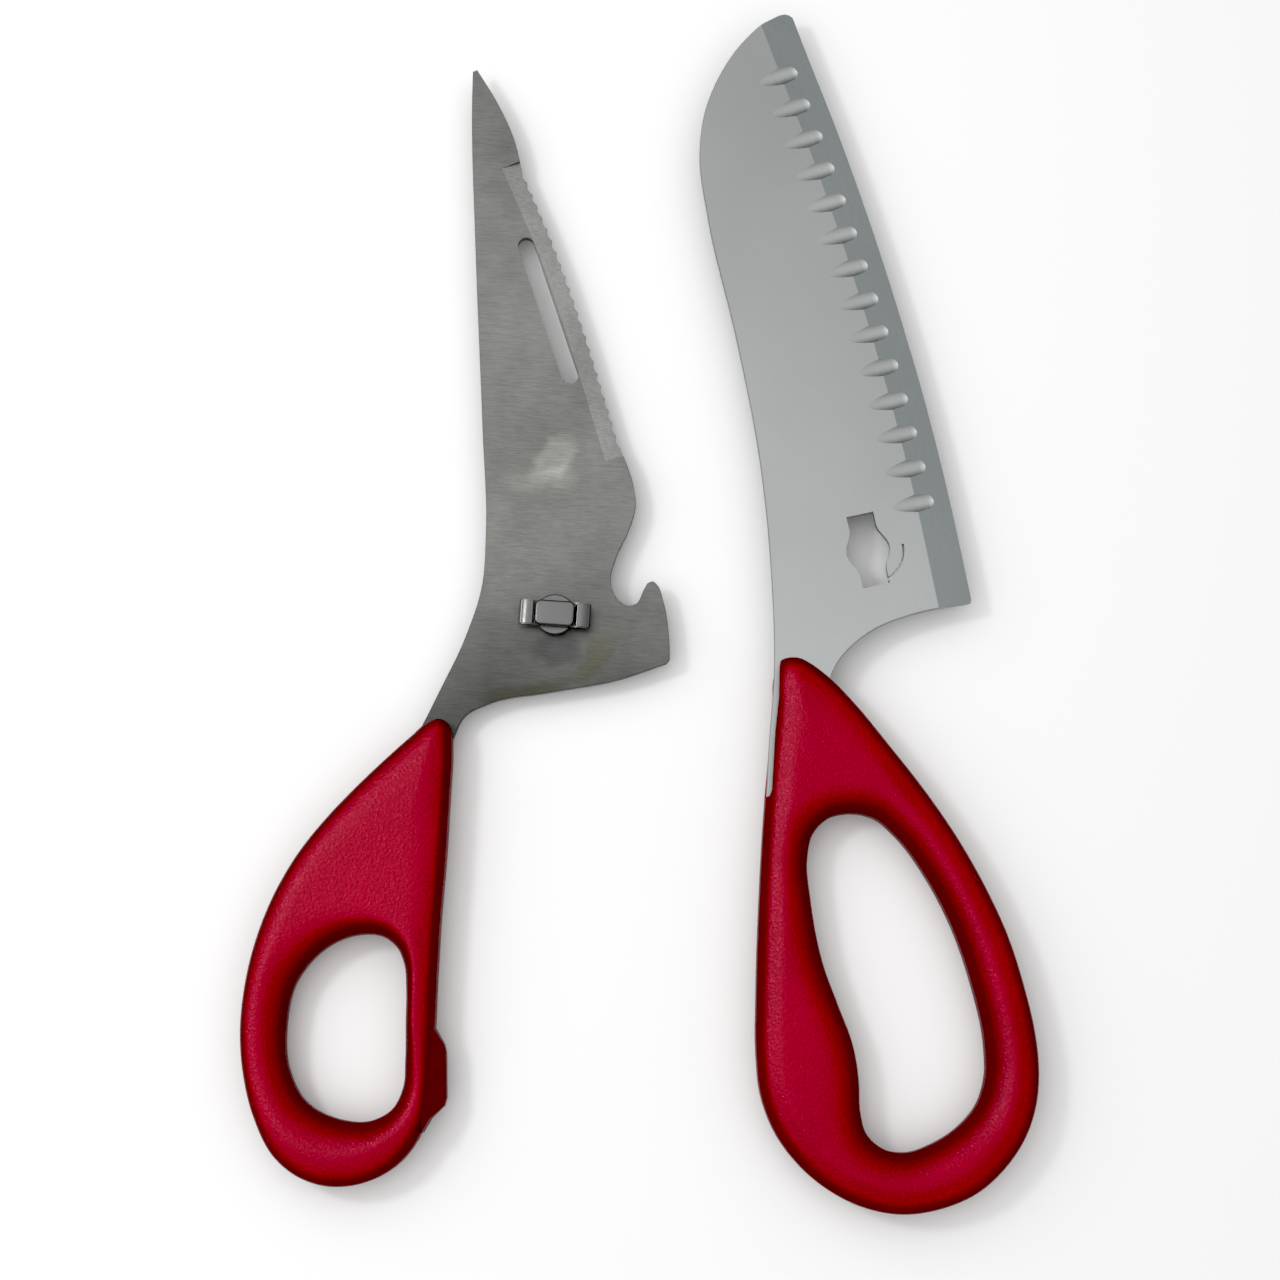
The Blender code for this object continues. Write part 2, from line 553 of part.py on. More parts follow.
def main():
    for obj in list(bpy.data.objects):
        bpy.data.objects.remove(obj)
    blade_steel = material("blade_steel", BLADE_STEEL, 0.35, 1.0)
    serrated_steel = material("serrated_steel", SERRATED_STEEL, 0.4, 1.0)
    pivot_steel = material("pivot_steel", PIVOT_STEEL, 0.3, 1.0)
    red = material("red_nylon", RED, 0.45, 0.0)
    dark_red = material("stop_pad", DARK_RED, 0.6, 0.0)

    # The box of both halves together is centred on the origin.
    finger, thumb = smooth(FINGER_OUTER, 1.0, closed=True), smooth(THUMB_OUTER, 1.0, closed=True)
    tip = knife_outline()[:, 1].max()
    stud_x = -(thumb[:, 0].min() + PIVOT_SPACING[0] + finger[:, 0].max()) / 2
    keyhole_y = -(finger[:, 1].min() + tip) / 2
    serrated_half = half_at("serrated_half", stud_x, keyhole_y - PIVOT_SPACING[1])
    knife_half = half_at("knife_half", stud_x + PIVOT_SPACING[0], keyhole_y)

    knife_blade(blade_steel, knife_half)
    finger_handle = handle(
        "finger_handle", FINGER_OUTER, FINGER_HOLE, FINGER_OUTER_BAND, FINGER_HOLE_BAND, FINGER_SOFTNESS,
        red, knife_half,
    )
    cut(finger_handle, "knife_pocket", pocket(knife_outline(), UPPER_BOTTOM, UPPER_TOP))
    window = prism(np.array(TANG_WINDOW), UPPER_BOTTOM - GAP, HANDLE_THICKNESS + 1)
    cut(finger_handle, "tang_window", window)

    serrated_blade(serrated_steel, serrated_half)
    thumb_handle = handle(
        "thumb_handle", THUMB_OUTER, THUMB_HOLE, THUMB_OUTER_BAND, THUMB_HOLE_BAND, THUMB_SOFTNESS,
        red, serrated_half,
    )
    cut(thumb_handle, "serrated_pocket", pocket(serrated_outline(), LOWER_BOTTOM, LOWER_TOP))
    cut(thumb_handle, "bumper_recess", bumper_solid(GAP))
    add("handle_bumper", bumper_solid(0), dark_red, serrated_half)

    pivot_stud(pivot_steel, serrated_half)
    bore = SHANK_RADIUS + GAP
    bush_bottom, bush_top = LOWER_TOP + GAP, HEAD_BOTTOM - GAP
    ring("pivot_bush", bore, JOURNAL_RADIUS, bush_bottom, bush_top, pivot_steel, serrated_half)
    washer_top = LOWER_BOTTOM - GAP
    washer_bottom = washer_top - WASHER_THICKNESS
    ring("stud_washer", bore, WASHER_RADIUS, washer_bottom, washer_top, pivot_steel, serrated_half)


main()
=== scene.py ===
"""The looks of the take-apart poultry shears: fine meshes, materials, light and camera.

Sizes are in millimetres about each half's own pivot axis, as in the CAD model, and are turned into
metres when a mesh is made. Every CAD node is stood in for by a finer mesh of the same shape.
"""

import json
import math

import bmesh
import bpy
import numpy as np
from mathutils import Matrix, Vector


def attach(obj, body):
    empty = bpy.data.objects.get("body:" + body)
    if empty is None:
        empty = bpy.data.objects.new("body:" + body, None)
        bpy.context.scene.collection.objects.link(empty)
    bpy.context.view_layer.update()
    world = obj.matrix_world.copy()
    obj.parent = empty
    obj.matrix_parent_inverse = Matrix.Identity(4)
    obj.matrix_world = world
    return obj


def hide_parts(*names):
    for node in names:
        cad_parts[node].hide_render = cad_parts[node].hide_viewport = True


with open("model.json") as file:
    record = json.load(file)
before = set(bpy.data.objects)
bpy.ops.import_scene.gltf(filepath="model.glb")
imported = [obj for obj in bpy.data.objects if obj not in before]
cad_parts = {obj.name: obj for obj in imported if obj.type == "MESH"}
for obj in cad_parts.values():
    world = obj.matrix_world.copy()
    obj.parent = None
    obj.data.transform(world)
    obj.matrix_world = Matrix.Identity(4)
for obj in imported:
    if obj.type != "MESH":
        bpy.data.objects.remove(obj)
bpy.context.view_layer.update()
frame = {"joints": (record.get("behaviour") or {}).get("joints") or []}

MM = 0.001

# Sizes that the CAD model is built from
HANDLE_THICKNESS = 13.0
BLADE_THICKNESS = 2.0
PLANE_GAP = 0.3
PIVOT_SPACING = (65.0, 13.6)
MID = HANDLE_THICKNESS / 2
LOWER_TOP = MID - PLANE_GAP / 2
LOWER_BOTTOM = LOWER_TOP - BLADE_THICKNESS
UPPER_BOTTOM = MID + PLANE_GAP / 2
UPPER_TOP = UPPER_BOTTOM + BLADE_THICKNESS

# Sizes that only the finer meshes have
FIT = 0.04                     # room between pieces that touch on the real shears
PAST = 1.0                     # how far a cutter reaches beyond what it cuts

# Where the halves stand
SWING = next(joint for joint in frame["joints"] if joint["name"] == "pivot_swing")
STUD_AT = (SWING["pos_m"][0] / MM, SWING["pos_m"][1] / MM)
KEYHOLE_AT = (STUD_AT[0] + PIVOT_SPACING[0], STUD_AT[1] + PIVOT_SPACING[1])

# Pivot
SHANK_RADIUS = 2.0
JOURNAL_RADIUS = 4.2
HEAD_LENGTH = 14.8
HEAD_WIDTH = 5.1
HEAD_TURN = math.radians(-4.0)
HEAD_BOTTOM = UPPER_TOP + PLANE_GAP
WING_TOP = HEAD_BOTTOM + 1.3
PAD_TOP = HEAD_BOTTOM + 2.1
HEAD_EASING = 0.18             # of the cross bar's edges
INTO_HEAD = 0.5                # how far the shank runs up into the cross bar
PAD_LENGTH = 8.2
PAD_EXTRA_WIDTH = 0.1          # over the cross bar's own
PAD_CORNER = 1.2
PAD_EASING = 0.45              # of its upper edge
PAD_ROOT = 0.4                 # from the cross bar's underside to the pad's
WASHER_RADIUS = 4.5
WASHER_THICKNESS = 1.3
RIVET_RADIUS = 3.2
RIVET_HEIGHT = 1.3
RING_CHAMFER = 0.2

# Both blades
BLADE_CHAMFER = 0.08
BLADE_SHARP_ANGLE = 25         # in degrees, above which an edge is shaded sharp
LEVEL = 0.995                  # the least upright share of a level face's normal
LEANING = 0.9                  # and of a ground bevel's
BEVEL_SLOT = 1                 # of the blade's materials
GROOVE_SLOT = 2

# Knife blade
KEY_HALF_LENGTH = 7.7
KEY_HALF_WIDTH = 2.85
KEY_BULGE_RADIUS = 4.6
KEY_BULGE_REACH = 5.0
KEY_TURN = math.radians(102.3)
SLIT_RADIUS = 7.3
SLIT_WIDTH = 0.45
SLIT_START = math.radians(10)
SLIT_END = math.radians(-60)
BEVEL_WIDTH = 7.2
BEVEL_DEPTH = 1.6
SCALLOPS = 14
FIRST_SCALLOP = 11.2
SCALLOP_PITCH = 7.56
SCALLOP_RADIUS = 3.2
SCALLOP_DEPTH = 0.62           # at the line where the bevel begins
SCALLOP_SLOPE = 0.13
SCALLOP_END = 2.5              # from the bevel line to the middle of the round end
SCALLOP_RUN = 9.0              # from the bevel line to the other end of the groove's cutter

# Serrated blade
SLOT_ENDS = ((-6.6, 79.9), (2.8, 51.4))
SLOT_WIDTH = 3.5
TEETH = 23
TOOTH_DEPTH = 0.45
TOOTH_STEPS = 12
GROUND_STRIP = 3.8
GROUND_DEPTH = 0.8
SHEAR_BEVEL_WIDTH = 2.6
SHEAR_BEVEL_DEPTH = 1.5
STRIP_OVERRUN = 2.0            # of the ground strip past the ends of the toothed edge

# Handles
OUTER_FALL = 1.8               # of half the thickness, over the sloping band along the outer edge
OUTER_EDGE_FALL = 2.6          # and again over its rounded edge
HOLE_FALL = 0.8
HOLE_EDGE_FALL = 4.4
OUTER_EDGE_SHARE = 0.5         # of the band's width that the rounded edge takes
HOLE_EDGE_SHARE = 1.0
FINGER_SOFTNESS = 0.18         # of the ridge, as a share of the band's width
THUMB_SOFTNESS = 0.5
FINGER_OUTER_BAND = (5.0, 0.0, 0.0)    # the band's width, and what it gains to the right and the top
FINGER_HOLE_BAND = (6.3, -0.4, -0.4)
THUMB_OUTER_BAND = (4.1, 0.8, -0.5)
THUMB_HOLE_BAND = (5.6, -3.6, -1.2)
STATIONS = 320
BAND_STEPS = 18
BAND_MARGIN = 1.05             # of the band's width, so that its ridge lies inside the fine steps
BAND_LIMIT = 0.48              # of the way across to the other edge
BAND_CROWDING = 1.8            # brings the steps closer together towards the edge
BUMPER_HALF_HEIGHT = 4.4
BUMPER_DRAFT = 2.2
BUMPER_DRAFT_REACH = 2.0       # from the pad's outermost side
BUMPER_CHAMFER = 0.2

# Outlines, each a list of the points that a smooth stretch runs through
KNIFE_SPINE = [
    (-14.6, 116.9), (-15.4, 117.4), (-19.7, 115.8), (-24.9, 111.3), (-30.0, 104.0), (-33.6, 95.0),
    (-34.7, 86.0), (-33.0, 72.0), (-27.0, 45.0), (-22.3, 19.0), (-20.1, -5.0), (-19.7, -26.0),
    (-20.8, -40.0), (-21.5, -51.0),
]
KNIFE_TANG_END = [(-21.2, -53.0), (-17.0, -55.5), (-12.8, -52.0)]
KNIFE_NECK = [(-11.6, -42.0), (-9.6, -31.0), (-6.3, -23.1), (0.5, -17.0), (9.5, -13.4), (20.4, -11.3)]
KNIFE_HEEL = [(21.2, -11.1), (21.4, -10.4)]
KNIFE_EDGE = [
    (21.4, -10.0), (17.5, 10.0), (13.0, 30.0), (7.7, 50.0), (1.8, 70.0), (-4.8, 90.0), (-12.1, 110.0),
    (-14.3, 116.2),
]

SHEAR_EDGE = [
    (-18.3, 118.6), (-18.4, 112.0), (-17.3, 78.0), (-15.5, 40.0), (-14.6, 18.0), (-15.4, 6.0),
    (-18.7, -4.5), (-24.8, -17.6), (-30.0, -29.0), (-32.6, -40.0), (-33.4, -48.0),
]
SERRATED_TANG_END = [(-32.8, -50.6), (-29.4, -52.6), (-26.4, -50.0)]
SERRATED_NECK = [
    (-25.2, -42.0), (-22.6, -32.0), (-20.7, -25.0), (-18.6, -20.9), (-14.0, -18.4), (-1.1, -15.9),
    (13.0, -13.3), (23.1, -9.9),
]
HOOK_BACK = [(23.8, -9.0), (23.6, -4.0), (22.4, 3.4), (21.2, 6.6), (20.2, 7.4), (19.1, 6.9)]
OPENER_NOTCH = [
    (18.3, 5.4), (16.9, 2.7), (15.2, 2.2), (13.2, 3.3), (11.8, 5.6), (11.5, 8.3), (12.6, 12.4),
    (15.4, 18.7), (16.7, 23.6), (16.2, 27.8), (13.4, 36.0),
]
TOOTHED_EDGE = [(13.4, 36.0), (10.4, 46.1), (5.1, 63.5), (-1.1, 81.1), (-7.6, 96.6)]
TIP_BACK = [(-7.8, 97.4), (-9.2, 103.0), (-13.4, 112.4), (-17.4, 119.0)]

FINGER_OUTER = [
    (-15.7, -22.6), (-18.1, -23.1), (-19.4, -25.6), (-19.9, -33.0), (-20.6, -40.0), (-21.6, -50.0),
    (-22.1, -56.0), (-23.0, -70.0), (-23.9, -92.0), (-24.0, -103.0),
    (-23.0, -112.2), (-20.4, -119.0), (-16.3, -124.8), (-10.0, -130.3), (-3.0, -133.8), (5.0, -135.3),
    (12.5, -134.3), (20.2, -131.1), (26.0, -126.0), (30.3, -119.6), (32.5, -112.8), (33.0, -105.7),
    (32.4, -99.3), (30.4, -90.0), (27.4, -80.0), (23.0, -70.0), (17.5, -60.0), (10.8, -50.0),
    (3.1, -40.0), (-2.5, -33.0), (-8.2, -27.0), (-12.5, -23.7), (-14.2, -22.8),
]
FINGER_HOLE = [
    (-4.0, -54.8), (-8.8, -55.8), (-12.1, -59.2), (-13.2, -64.0), (-12.6, -72.7), (-10.0, -86.2),
    (-7.4, -93.4), (-4.3, -102.0), (-3.2, -109.5), (-3.1, -114.5), (-1.7, -119.7), (2.0, -122.6),
    (6.0, -123.1), (11.5, -121.3), (16.5, -118.1), (20.3, -113.8), (22.3, -107.6), (22.3, -102.6),
    (19.6, -88.6), (15.5, -76.7), (11.1, -68.1), (4.5, -59.1), (0.7, -55.9),
]
THUMB_OUTER = [
    (-23.5, -21.8), (-26.0, -22.5), (-29.2, -25.2), (-34.5, -30.0), (-40.7, -36.0), (-46.6, -42.3),
    (-51.4, -48.3), (-56.3, -56.5), (-60.6, -67.6), (-62.6, -77.0), (-63.2, -86.0), (-62.4, -94.0),
    (-60.3, -102.0), (-55.5, -110.8), (-51.0, -114.3), (-45.5, -116.1), (-40.0, -116.0),
    (-34.7, -114.3), (-30.3, -111.2), (-27.0, -106.8), (-25.4, -103.0), (-24.6, -97.0),
    (-24.1, -90.0), (-23.5, -74.0), (-22.9, -62.0), (-22.0, -50.0), (-21.4, -38.0), (-21.0, -28.0),
    (-21.2, -24.6), (-22.0, -22.6),
]
THUMB_HOLE = [
    (-29.8, -84.0), (-29.8, -76.5), (-30.2, -72.1), (-31.9, -68.4), (-35.1, -66.2), (-39.1, -65.9),
    (-43.8, -67.2), (-48.7, -70.7), (-52.3, -75.8), (-54.0, -84.0), (-53.3, -93.0), (-49.9, -99.3),
    (-43.0, -102.9), (-36.5, -103.2), (-32.4, -101.0), (-30.2, -96.7), (-29.8, -91.0),
]
BUMPER = [
    (-24.1, -84.6), (-22.0, -88.0), (-21.6, -89.5), (-21.4, -98.6), (-21.8, -100.2), (-24.6, -102.8),
    (-26.2, -105.6), (-26.3, -100.0), (-26.1, -87.0),
]
TANG_WINDOW = [
    (-18.0, -20.0), (-18.6, -25.0), (-18.8, -31.0), (-19.6, -38.0), (-20.4, -50.2), (-20.9, -51.5),
    (-22.6, -52.0), (-25.0, -51.0), (-25.0, -20.0),
]

# Colours and tones
NYLON_REDS = ((0.25, 0.0, 0.006), (0.295, 0.0, 0.009))
NYLON_GLEAM = (1.0, 0.34, 0.52)
STOP_PAD_REDS = ((0.09, 0.0, 0.001), (0.12, 0.0, 0.002))
SIDE_PAINTED_SHADE = 0.46               # painted shade: how dark the nylon's steep sides are made
KNIFE_STEEL = (0.236, 0.244, 0.243)
BEVEL_STEEL = (0.25, 0.268, 0.27)
# the grooves' steel is lighter than the blade's face: painted light that offsets the shade of their
# curved floors
GROOVE_STEEL = (0.33, 0.342, 0.34)
SERRATED_STEEL = (0.142, 0.144, 0.137)
GROUND_STRIP_STEEL = (0.27, 0.27, 0.262)
PIVOT_STEEL = (0.13, 0.13, 0.13)
FLOOR_GREY = 0.83
KNIFE_TONES = (-25.0, 110.0, 1.32, 1.0)    # two heights above the stud, and the steel's tone at each
SERRATED_TONES = (-26.0, 10.0, 0.4, 1.0)
PATCH_WOBBLE = 7.0             # how far a patch's outline wanders, from one side to the other
PATCH_WOBBLE_SCALE = 150.0     # turns of its wandering in a metre
WEAR_STAINS_AND_STUD_SHADOW = (               # each patch's, stain's and painted shadow's middle, size, turn and tone
    ((-0.5, 33.5), (8.0, 4.5), 0.9, (1.4, 1.4, 1.37)),
    ((-3.0, 29.0), (10.0, 4.0), 0.1, (1.25, 1.25, 1.22)),
    ((8.5, -8.5), (9.0, 3.2), 0.9, (0.9, 0.87, 0.76)),
    ((-6.0, -16.0), (14.0, 3.2), 0.2, (0.78, 0.75, 0.66)),
    # a painted shadow, just below the stud
    ((-1.0, -6.5), (9.0, 4.0), 0.0, (0.76, 0.76, 0.78)),
)

# Camera, light and floor. The light's places and sizes are in metres.
AIM = (17.6, -4.0)             # from the stud's axis to the middle of the picture
CAMERA_DISTANCE = 560.0
CAMERA_TILT = math.radians(9)
VIEW_WIDTH = 268.8             # of the picture, at the surface that the shears lie on
SENSOR = 36.0
SKY_STOPS = ((0.0, 0.1), (0.35, 0.2), (0.65, 0.6), (0.9, 1.0), (1.0, 1.0))
SKY_STRENGTH = 1.25
KEY_PLACE = (-0.36, 0.1, 0.58)
KEY_SIZE = 0.11
KEY_POWER = 0.85
SOFTBOX_SIZE = 1.2
SOFTBOX_POWER = 2.5
FLOOR_REACH = 1.5              # in metres, from its middle to each side
BLACK_LEVEL = 0.026            # the tone that the picture shows as black, which deepens its darks


# Outlines

def smooth(points, step, closed=False):
    """Points about a step apart along one smooth curve through the given points."""
    given = np.array(points, float)
    if closed:
        given = np.vstack([given[-1], given, given[:2]])
    else:
        given = np.vstack([2 * given[0] - given[1], given, 2 * given[-1] - given[-2]])
    curve = []
    for before, start, end, after in zip(given, given[1:], given[2:], given[3:]):
        arrive, span, leave = (np.linalg.norm(v) for v in (start - before, end - start, after - end))
        chord = (end - start) / span
        start_way = ((start - before) / arrive * span + chord * arrive) / (arrive + span) * span
        end_way = (chord * leave + (after - end) / leave * span) / (leave + span) * span
        for t in np.linspace(0, 1, max(1, round(span / step)), endpoint=False):
            curve.append(
                (2 * t**3 - 3 * t**2 + 1) * start + (t**3 - 2 * t**2 + t) * start_way
                + (3 * t**2 - 2 * t**3) * end + (t**3 - t**2) * end_way
            )
    if not closed:
        curve.append(given[-2])
    return np.array(curve)


def spread(curve, count, closed=True):
    """The same curve as a number of points that are equally far apart along it."""
    if closed:
        curve = np.vstack([curve, curve[:1]])
    along = np.concatenate([[0], np.cumsum(np.linalg.norm(np.diff(curve, axis=0), axis=1))])
    wanted = np.linspace(0, along[-1], count, endpoint=not closed)
    return np.column_stack([np.interp(wanted, along, curve[:, k]) for k in (0, 1)])


def grown(outline, by):
    """A closed outline moved out by a distance."""
    ahead = np.roll(outline, -1, axis=0) - outline
    ahead /= np.linalg.norm(ahead, axis=1)[:, None]
    way = ahead + np.roll(ahead, 1, axis=0)
    way /= np.linalg.norm(way, axis=1)[:, None]
    x, y = outline.T
    turn = 1 if np.sum(x * np.roll(y, -1) - y * np.roll(x, -1)) > 0 else -1
    return outline + by * turn * np.column_stack([way[:, 1], -way[:, 0]])


def toothed(curve):
    """The curve with shallow round bites taken out of it, one for each tooth."""
    steps = TOOTH_STEPS * TEETH + 1
    points = spread(curve, steps, closed=False)
    ahead = np.gradient(points, axis=0)
    ahead /= np.linalg.norm(ahead, axis=1)[:, None]
    bite = TOOTH_DEPTH * np.abs(np.sin(np.arange(steps) * math.pi / TOOTH_STEPS))
    return points - bite[:, None] * np.column_stack([ahead[:, 1], -ahead[:, 0]])


def knife_outline():
    """The knife blade from above: down the spine, round the tang's end and up the edge."""
    stretches = [
        smooth(KNIFE_SPINE, 1.0), smooth(KNIFE_TANG_END, 1.0), smooth(KNIFE_NECK, 1.0), KNIFE_HEEL,
        smooth(KNIFE_EDGE, 2.0),
    ]
    return np.vstack(stretches)


def serrated_outline():
    """The serrated blade from above: down the shearing edge, round the tang's end and up the teeth."""
    stretches = [
        smooth(SHEAR_EDGE, 1.5), smooth(SERRATED_TANG_END, 1.0), smooth(SERRATED_NECK, 1.0),
        smooth(HOOK_BACK, 0.5), smooth(OPENER_NOTCH, 0.5)[:-1], toothed(smooth(TOOTHED_EDGE, 0.5)),
        smooth(TIP_BACK, 1.0),
    ]
    return np.vstack(stretches)


def keyhole_outline(steps=41):
    """A slot whose middle swells smoothly to take the round journal."""
    u = np.linspace(-KEY_BULGE_REACH, KEY_BULGE_REACH, steps)
    swell = np.cos(u * math.pi / 2 / KEY_BULGE_REACH) ** 2
    half = KEY_HALF_WIDTH + (KEY_BULGE_RADIUS - KEY_HALF_WIDTH) * swell
    u = np.concatenate([[-KEY_HALF_LENGTH], u, [KEY_HALF_LENGTH]])
    half = np.concatenate([[KEY_HALF_WIDTH], half, [KEY_HALF_WIDTH]])
    u, v = np.concatenate([u, u[::-1]]), np.concatenate([half, -half[::-1]])
    cos, sin = math.cos(KEY_TURN), math.sin(KEY_TURN)
    return np.column_stack([u * cos - v * sin, u * sin + v * cos])


def slit_outline(steps=33):
    """A thin arc beside the keyhole, which leaves a springy tongue between the two."""
    angles = np.linspace(SLIT_START, SLIT_END, steps)
    ring = np.column_stack([np.cos(angles), np.sin(angles)])
    inner, outer = SLIT_RADIUS - SLIT_WIDTH / 2, SLIT_RADIUS + SLIT_WIDTH / 2
    return np.vstack([ring * inner, ring[::-1] * outer])


def slot_outline(steps=25):
    """A long slot with round ends."""
    top, bottom = (np.array(end) for end in SLOT_ENDS)
    lean = math.atan2(*(top - bottom)[::-1])
    outline = []
    for centre, first in ((top, lean - math.pi / 2), (bottom, lean + math.pi / 2)):
        for angle in np.linspace(first, first + math.pi, steps):
            outline.append(centre + SLOT_WIDTH / 2 * np.array([math.cos(angle), math.sin(angle)]))
    return np.array(outline)


def distance(points, outline, group_size=500):
    """How far each point is from a closed outline, worked out for a group of points at a time."""
    start, end = outline, np.roll(outline, -1, axis=0)
    run = end - start
    found = []
    for group in np.array_split(points, max(1, len(points) // group_size)):
        offset = group[:, None] - start
        share = np.clip((offset * run).sum(2) / (run * run).sum(1), 0, 1)
        found.append(np.linalg.norm(offset - share[..., None] * run, axis=2).min(1))
    return np.concatenate(found)


# Meshes

def add(name, bm, at):
    """A new object from a mesh drawn about a pivot axis."""
    bmesh.ops.translate(bm, verts=bm.verts, vec=(at[0] * MM, at[1] * MM, 0))
    bmesh.ops.recalc_face_normals(bm, faces=bm.faces)
    mesh = bpy.data.meshes.new(name)
    bm.to_mesh(mesh)
    bm.free()
    obj = bpy.data.objects.new(name, mesh)
    bpy.context.collection.objects.link(obj)
    return obj


def shade(obj, angle=30):
    """Shade an object smooth, except at edges sharper than an angle in degrees."""
    obj.data.shade_smooth()
    obj.data.set_sharp_from_angle(angle=math.radians(angle))


def flatten(obj, curved_slot=None):
    """Shade a plate's level and ground faces flat, so that no small facet beside them bends their light.
    Faces that have the curved slot stay as they are."""
    for face in obj.data.polygons:
        if face.material_index != curved_slot and abs(face.normal.z) > LEANING:
            face.use_smooth = False


def tag_bevel(obj):
    """Give the bevel's slot to every face that leans a little, as a ground bevel does."""
    for face in obj.data.polygons:
        if LEANING < abs(face.normal.z) < LEVEL:
            face.material_index = BEVEL_SLOT


def vertex(bm, x, y, z):
    return bm.verts.new((x * MM, y * MM, z * MM))


def skin(bm, rings):
    """Faces between each ring of vertices and the next."""
    for lower, upper in zip(rings, rings[1:]):
        for k in range(len(lower)):
            bm.faces.new((lower[k - 1], lower[k], upper[k], upper[k - 1]))


def solid(levels):
    """A closed mesh whose outlines are given from its lowest level to its highest."""
    bm = bmesh.new()
    rings = [[vertex(bm, x, y, z) for x, y in line] for line, z in levels]
    bm.faces.new(rings[0])
    bm.faces.new(rings[-1])
    skin(bm, rings)
    return bm


def prism(outline, bottom, top, chamfer=0.0):
    """A plate with this outline, and with a small chamfer round both faces if one is given."""
    if not chamfer:
        return solid([(outline, bottom), (outline, top)])
    inner = grown(outline, -chamfer)
    return solid([(inner, bottom), (outline, bottom + chamfer), (outline, top - chamfer), (inner, top)])


def turned(profile, segments=96):
    """A profile of (radius, height) points spun about the Z axis, closed on itself or on the axis."""
    bm = bmesh.new()
    points = [bm.verts.new((r * MM, 0, z * MM)) for r, z in profile]
    edges = [bm.edges.new(pair) for pair in zip(points, points[1:])]
    if profile[0][0] > 0:
        edges.append(bm.edges.new((points[-1], points[0])))
    bmesh.ops.spin(
        bm, geom=points + edges, cent=(0, 0, 0), axis=(0, 0, 1), angle=2 * math.pi,
        steps=segments, use_merge=True,
    )
    bmesh.ops.remove_doubles(bm, verts=bm.verts, dist=1e-7)
    return bm


def wedge(path, width, depth, face, side, over=6.0):
    """A cutter for a ground bevel, which starts a width inside the path and is a depth into the
    plate's face at it. The plate is on the path's left, and side is 1 on an upper face."""
    path = np.array(path, float)
    ahead = np.gradient(path, axis=0)
    ahead /= np.linalg.norm(ahead, axis=1)[:, None]
    path[0] -= over * ahead[0]
    path[-1] += over * ahead[-1]
    slope = depth / width
    section = [
        (-width - PAST, face + side * slope * PAST), (over, face - side * slope * (width + over)),
        (over, face + side * 2 * PAST), (-width - PAST, face + side * 2 * PAST),
    ]
    bm = bmesh.new()
    rings = []
    for base, way in zip(path, ahead):
        places = [(base + np.array([way[1], -way[0]]) * s, z) for s, z in section]
        rings.append([vertex(bm, *place, z) for place, z in places])
    bm.faces.new(rings[0])
    bm.faces.new(rings[-1])
    for ring, following in zip(rings, rings[1:]):
        for k in range(len(section)):
            bm.faces.new((ring[k], ring[k - 1], following[k - 1], following[k]))
    return bm


def cut(obj, bm, at, operation="DIFFERENCE"):
    """Cut a shape out of an object, or join it on, for good."""
    tool = add("tool", bm, at)
    modifier = obj.modifiers.new("cut", "BOOLEAN")
    modifier.operation = operation
    modifier.object = tool
    graph = bpy.context.evaluated_depsgraph_get()
    made = bpy.data.meshes.new_from_object(obj.evaluated_get(graph))
    obj.modifiers.clear()
    obj.data = made
    bpy.data.objects.remove(tool)


# Pieces

def knife_blade(looks):
    """The looks are those of its faces, its bevel and its grooves."""
    plate = prism(knife_outline(), UPPER_BOTTOM, UPPER_TOP, BLADE_CHAMFER)
    blade = add("knife_blade_ground", plate, KEYHOLE_AT)
    for look in looks:
        blade.data.materials.append(look)
    bevel = wedge(smooth(KNIFE_EDGE, 4.0), BEVEL_WIDTH, BEVEL_DEPTH, UPPER_TOP, 1)
    cut(blade, bevel, KEYHOLE_AT)
    tag_bevel(blade)
    cut(blade, prism(keyhole_outline(), UPPER_BOTTOM - PAST, UPPER_TOP + PAST), KEYHOLE_AT)
    cut(blade, prism(slit_outline(), UPPER_BOTTOM - PAST, UPPER_TOP + PAST), KEYHOLE_AT)
    grooves = scallops()
    for face in grooves.faces:
        face.material_index = GROOVE_SLOT
    cut(blade, grooves, KEYHOLE_AT)
    shade(blade, BLADE_SHARP_ANGLE)
    flatten(blade, GROOVE_SLOT)
    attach(blade, "knife_half")
    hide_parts("knife_blade")


def scallops():
    """Round-ended grooves across the line where the knife's bevel begins, rising towards the spine."""
    edge = smooth(KNIFE_EDGE, 0.1)[::-1]
    along = np.gradient(edge, axis=0)
    along /= np.linalg.norm(along, axis=1)[:, None]
    run = np.concatenate([[0], np.cumsum(np.linalg.norm(np.diff(edge, axis=0), axis=1))])
    bm = bmesh.new()
    for k in range(SCALLOPS):
        at = np.searchsorted(run, FIRST_SCALLOP + k * SCALLOP_PITCH)
        inward = np.array([along[at][1], -along[at][0]])
        groove(bm, edge[at] + inward * BEVEL_WIDTH, inward, along[at])
    return bm


